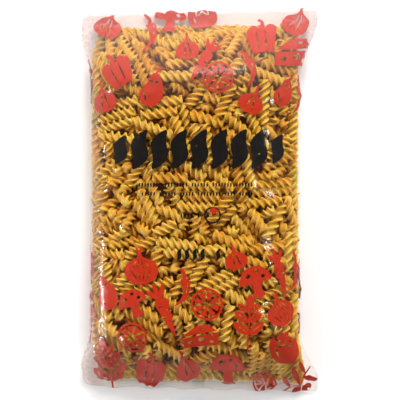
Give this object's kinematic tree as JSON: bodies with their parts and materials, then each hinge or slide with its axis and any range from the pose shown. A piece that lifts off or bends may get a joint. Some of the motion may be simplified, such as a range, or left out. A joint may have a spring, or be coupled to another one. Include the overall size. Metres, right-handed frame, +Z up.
{
  "type": "pasta packet",
  "caption": "Filled pillow bag of dried spiral pasta in clear film with printed red figures, lying on its back with a flat seal at each end.",
  "frame": {"origin": "centre of the bounding box's bottom, on the surface that the bag lies on", "axes": "+X towards the bag's right edge as its printed face is read, +Y towards its top end, +Z up out of its printed face"},
  "size_m": [0.2214, 0.3613, 0.0644],
  "materials": {
    "pasta": "dried semolina, slightly rough",
    "film": "clear glossy film, wrinkled",
    "print_red": "printed ink under gloss",
    "print_black": "printed ink under gloss"
  },
  "bodies": {
    "root": {"packet": "pasta"}
  },
  "joints": []
}
